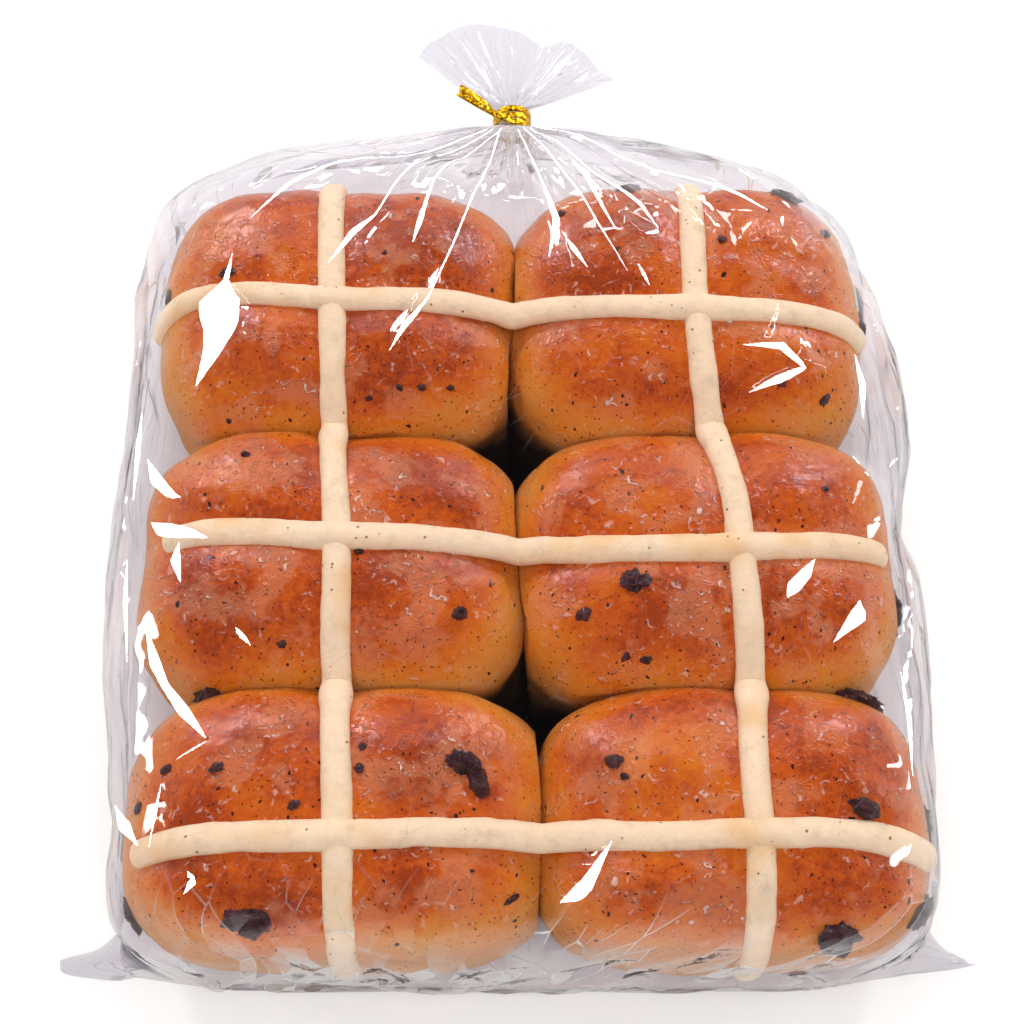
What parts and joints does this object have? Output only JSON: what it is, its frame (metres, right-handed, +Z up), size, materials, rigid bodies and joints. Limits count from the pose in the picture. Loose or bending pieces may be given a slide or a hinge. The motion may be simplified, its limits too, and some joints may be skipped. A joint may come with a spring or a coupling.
{
  "type": "bag of hot cross buns",
  "caption": "Clear film bag filled with hot cross buns that touch in rows, gathered into a neck at one end and closed with a gold twist tie, lying with the crosses up.",
  "frame": {"origin": "on the flat underside that the bag rests on, under the middle of the middle row of buns", "axes": "+Y from the sealed end towards the tied neck, +Z up through the crosses, +X to the right"},
  "size_m": [0.1932, 0.2489, 0.0503],
  "materials": {
    "film": "clear crumpled polypropylene film, very glossy",
    "gold_foil": "gold metallised paper over a wire, glossy",
    "crust": "glazed orange-brown bread crust",
    "flour_paste": "baked pale flour paste, satin",
    "raisin": "dark wrinkled dried fruit, satin"
  },
  "bodies": {
    "root": {"bag": "film", "twist_tie": "gold_foil"}
  },
  "joints": []
}
